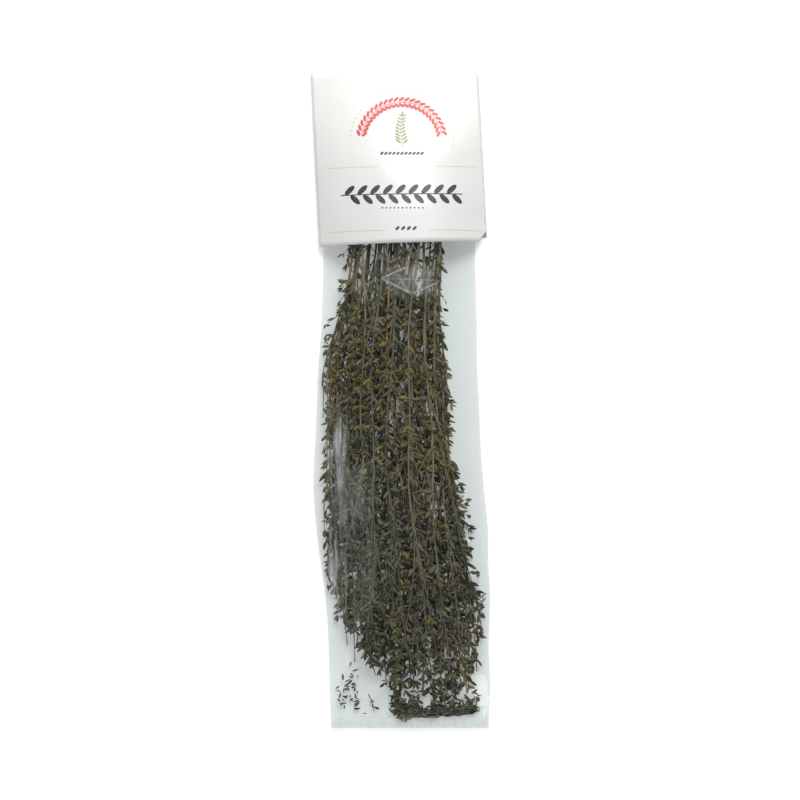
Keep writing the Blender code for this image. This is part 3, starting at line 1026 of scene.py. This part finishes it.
def build_fallen(templates, materials, chance):
    """The crumbled leaves along the seal, the loose leaves and the broken tip."""
    low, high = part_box("fallen_leaf_bed")
    bed = Grower(chance, templates, fallen=True)
    for _ in range(BED_LEAVES):
        x = chance.uniform(low.x - 2 * MM, high.x + 1 * MM)
        share = (x - low.x) / (high.x - low.x)
        heap = 6.0 if share < 0.05 else 0.0
        tall = (2.6 + 2.6 * math.sin(share * 9.0) ** 2 + heap) * MM
        y = low.y - 3.4 * MM + tall * abs(chance.gauss(0, 0.9)) + 1.4 * MM * math.sin(share * 31)
        point = INSIDE.settle(Vector((x, y, chance.uniform(low.z, high.z))), 0.7 * MM)
        direction = Vector((chance.uniform(-1, 1), chance.uniform(-0.6, 0.7), chance.uniform(-0.15, 0.15)))
        bed.leaf(point, direction, chance.uniform(2.6, 5.6) * MM, chance.uniform(0.0, 0.45))
    new_piece("leaf_bed", bed.finished(), materials, ["fallen_leaf_bed"])

    corner = [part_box(name) for name in LOOSE]
    for name, (low, high) in zip(LOOSE, corner):
        few = Grower(chance, templates, fallen=True)
        middle = (low + high) / 2
        for k in range(LEAVES_FOR_ONE):
            spot = middle + Vector((chance.gauss(-0.5, 4.2), chance.gauss(-5.0, 6.0), 0.0)) * MM
            if k == 0:
                spot = middle.copy()
            spot.z = INSIDE.settle(spot, FALLEN_ROOM).z if k else middle.z
            angle = chance.uniform(0, math.pi * 2)
            direction = Vector((math.cos(angle), math.sin(angle), 0.0))
            spot = INSIDE.settle(spot, FALLEN_ROOM)
            few.leaf(spot, direction, chance.uniform(2.4, 4.6) * MM, chance.uniform(0.05, 0.5))
        new_piece(name + "_look", few.finished(), materials, [name])

    low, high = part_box("fallen_tip")
    tip = Grower(chance, templates, fallen=True, size=0.5)
    z = (low.z + high.z) / 2
    start, end = Vector((low.x + 0.6 * MM, high.y, z)), Vector((high.x - 1.2 * MM, low.y + 1 * MM, z))
    path = smooth_path([start, start.lerp(end, 0.5) + Vector((0.8, 0.0, 0.0)) * MM, end], 2 * MM)
    tip.stem(path, 0.7 * MM, 0.4 * MM, 0.2, sides=4)
    tip.dress(path, 0.35, 2.6 * MM, 0.0, 0.2)
    new_piece("fallen_tip_look", tip.finished(), materials, ["fallen_tip"])


# The stage

VIEW_WIDTH_HEIGHT = 8 * MM  # where the view is exactly as wide as sizes.view_width


def lay_floor(sizes):
    """A plain white light table, a hair below the bag so that the two don't flicker."""
    bm = bmesh.new()
    bmesh.ops.create_grid(bm, x_segments=2, y_segments=2, size=2.5)
    bmesh.ops.translate(bm, vec=(0.0, 0.0, -0.4 * MM), verts=bm.verts)
    mesh = bpy.data.meshes.new("floor")
    bm.to_mesh(mesh)
    bm.free()
    white = Finish("white floor")
    white.set(Base_Color=(0.93, 0.93, 0.93, 1.0), Roughness=0.9,
              Emission_Color=(1.0, 1.0, 1.0, 1.0), Emission_Strength=sizes.table_light)
    mesh.materials.append(white.material)
    floor = bpy.data.objects.new("floor", mesh)
    bpy.context.scene.collection.objects.link(floor)


def set_lights(sizes):
    """An even white sky and three soft lamps, all aimed at the packet."""
    world = bpy.data.worlds.new("studio")
    bpy.context.scene.world = world
    world.use_nodes = True
    sky = world.node_tree.nodes["Background"]
    sky.inputs["Color"].default_value = (1.0, 1.0, 1.0, 1.0)
    sky.inputs["Strength"].default_value = sizes.sky_light

    for name, place, width, length, power in (
        ("key", (0.25, 0.9, 1.15), 0.6, 0.6, sizes.key_light),
        ("fill", (-0.95, -0.45, 1.1), 0.5, 1.2, sizes.key_light * 0.35),
        ("strip", (0.15, 1.35, 0.75), 1.2, 0.25, sizes.key_light * 0.4),
    ):
        light = bpy.data.lights.new(name, "AREA")
        light.shape = "RECTANGLE"
        light.size = width
        light.size_y = length
        light.energy = power
        lamp = bpy.data.objects.new(name, light)
        lamp.location = place
        lamp.rotation_euler = (-Vector(place)).to_track_quat("-Z", "Y").to_euler()
        bpy.context.scene.collection.objects.link(lamp)


def set_camera(sizes):
    """A long lens straight above the packet, level with the floor."""
    lens = bpy.data.cameras.new("camera")
    lens.lens = sizes.camera_lens
    lens.sensor_width = 36.0
    camera = bpy.data.objects.new("camera", lens)
    away = sizes.view_width / lens.sensor_width * lens.lens
    camera.location = (0.0, 0.0, away + VIEW_WIDTH_HEIGHT)
    bpy.context.scene.collection.objects.link(camera)
    bpy.context.scene.camera = camera
    bpy.context.scene.view_settings.view_transform = "Standard"


# The add-on


def length(label, words, default):
    """A setting that holds a length in metres."""
    return bpy.props.FloatProperty(
        name=label, description=words, default=default, min=0.0, precision=5,
        subtype="DISTANCE", unit="LENGTH",
    )


def colour(label, words, default):
    """A setting that holds a colour."""
    return bpy.props.FloatVectorProperty(
        name=label, description=words, default=default, size=3, min=0.0, max=1.0, subtype="COLOR"
    )


class ThymeSizes(bpy.types.PropertyGroup):
    stem_thick: length("Stem", "Thickness of a stem at its cut end", 0.0017)
    node_gap: length("Node gap", "Length of stem between two pairs of leaves", 0.0092)
    view_width: length("View width", "Width of the floor that the camera sees", 0.48)
    camera_lens: bpy.props.FloatProperty(
        name="Lens", description="Focal length of the camera",
        default=100.0, min=20.0, subtype="DISTANCE_CAMERA",
    )
    sky_light: bpy.props.FloatProperty(
        name="Sky", description="Strength of the even white light from all round",
        default=0.32, min=0.0,
    )
    key_light: bpy.props.FloatProperty(
        name="Key", description="Power of the main lamp",
        default=13.8, min=0.0, subtype="POWER", unit="POWER",
    )
    table_light: bpy.props.FloatProperty(
        name="Light table", description="Strength of the white light that the floor gives",
        default=0.31, min=0.0,
    )
    seed: bpy.props.IntProperty(name="Seed", description="Chooses how the leaves fall", default=7, min=0)


class ThymeColours(bpy.types.PropertyGroup):
    leaf_deep: colour("Deep leaf", "Darkest leaves", (0.024, 0.023, 0.015))
    leaf_grey: colour("Grey leaf", "Grey-green leaves", (0.180, 0.182, 0.124))
    leaf_olive: colour("Olive leaf", "Olive leaves", (0.118, 0.106, 0.028))
    leaf_yellow: colour("Yellow leaf", "Yellow-green leaves", (0.27, 0.235, 0.07))
    leaf_brown: colour("Brown leaf", "Brown leaves", (0.15, 0.095, 0.045))
    bark_dark: colour("Dark bark", "Darkest stems", (0.055, 0.050, 0.038))
    bark_green: colour("Green bark", "Grey-green stems", (0.16, 0.15, 0.10))
    bark_tan: colour("Tan bark", "Pale brown stems", (0.30, 0.235, 0.15))
    bark_orange: colour("Orange bark", "Russet stems", (0.42, 0.19, 0.06))
    film: colour("Film", "What the film lets through", (0.862, 0.884, 0.882))
    # The film haze colour is also the colour of the painted highlights and painted reflections on the film
    film_haze_and_sheen: colour("Film haze", "Milky haze of the film, its painted highlights and painted reflections", (0.80, 0.82, 0.83))
    card: colour("Card", "White of the card", (0.765, 0.765, 0.742))
    # This colour is also painted shade towards the bottom of the card's front, besides the smudges and the
    # fold line.
    card_smudge_and_shade: colour("Card shade", "Smudges, the fold line and painted shade of the card", (0.63, 0.645, 0.63))
    ink_olive: colour("Olive ink", "Dotted rules", (0.46, 0.48, 0.16))
    ink_green: colour("Green ink", "Sprig drawing", (0.30, 0.34, 0.14))
    ink_red: colour("Red ink", "Arch of leaves", (0.62, 0.07, 0.06))
    ink_dark: colour("Dark ink", "Bars of leaves", (0.035, 0.04, 0.04))


STORE = {}


def herb_materials(context):
    """The leaf and bark finishes, made once together with the shapes that are copied."""
    if "herb" not in STORE:
        colours = context.scene.thyme_colours
        STORE["herb"] = [leaf_finish(colours), bark_finish(colours)]
        STORE["templates"] = make_templates()
    return STORE["herb"]


class THYME_OT_sprigs(bpy.types.Operator):
    """Grow the sprigs of the bundle on the stems of the fixed frame"""

    bl_idname = "thyme.sprigs"
    bl_label = "Sprigs"

    def execute(self, context):
        materials = herb_materials(context)
        sizes = context.scene.thyme_sizes
        for name in SPRIGS:
            chance = random.Random(f"{sizes.seed} {name}")
            bm = grow_sprig(name, STORE["templates"], chance, sizes)
            new_piece(name + "_look", bm, materials, [name])
        return {"FINISHED"}


class THYME_OT_fallen(bpy.types.Operator):
    """Scatter the fallen leaves along the seal and in the corner"""

    bl_idname = "thyme.fallen"
    bl_label = "Fallen leaves"

    def execute(self, context):
        materials = herb_materials(context)
        build_fallen(STORE["templates"], materials, random.Random(context.scene.thyme_sizes.seed))
        return {"FINISHED"}


class THYME_OT_film(bpy.types.Operator):
    """Wrap the sprigs in the creased clear film"""

    bl_idname = "thyme.film"
    bl_label = "Film bag"

    def execute(self, context):
        build_film(context.scene.thyme_colours)
        return {"FINISHED"}


class THYME_OT_card(bpy.types.Operator):
    """Fold the printed header card over the bag's mouth"""

    bl_idname = "thyme.card"
    bl_label = "Header card"

    def execute(self, context):
        card = build_card(context.scene.thyme_colours)
        build_print(card, context.scene.thyme_colours)
        return {"FINISHED"}


class THYME_OT_stage(bpy.types.Operator):
    """Set the floor, the lights and the camera"""

    bl_idname = "thyme.stage"
    bl_label = "Stage"

    def execute(self, context):
        sizes = context.scene.thyme_sizes
        lay_floor(sizes)
        set_lights(sizes)
        set_camera(sizes)
        return {"FINISHED"}


STEPS = (THYME_OT_sprigs, THYME_OT_fallen, THYME_OT_film, THYME_OT_card, THYME_OT_stage)


class THYME_PT_packet(bpy.types.Panel):
    """Sizes, colours and building steps of the thyme packet"""

    bl_label = "Dried Thyme Packet"
    bl_idname = "THYME_PT_packet"
    bl_space_type = "VIEW_3D"
    bl_region_type = "UI"
    bl_category = "Thyme"

    def draw(self, context):
        column = self.layout.column()
        for group in (context.scene.thyme_sizes, context.scene.thyme_colours):
            for name in group.__annotations__:
                column.prop(group, name)
        for step in STEPS:
            column.operator(step.bl_idname)


CLASSES = (ThymeSizes, ThymeColours, *STEPS, THYME_PT_packet)


def register():
    """Adds the settings, operators and panel."""
    for cls in CLASSES:
        bpy.utils.register_class(cls)
    bpy.types.Scene.thyme_sizes = bpy.props.PointerProperty(type=ThymeSizes)
    bpy.types.Scene.thyme_colours = bpy.props.PointerProperty(type=ThymeColours)


def unregister():
    """Takes the settings, operators and panel away again."""
    del bpy.types.Scene.thyme_colours
    del bpy.types.Scene.thyme_sizes
    for cls in reversed(CLASSES):
        bpy.utils.unregister_class(cls)


def main():
    """Builds everything."""
    register()
    bpy.ops.thyme.sprigs()
    bpy.ops.thyme.fallen()
    bpy.ops.thyme.film()
    bpy.ops.thyme.card()
    bpy.ops.thyme.stage()


if __name__ == "__main__":
    main()
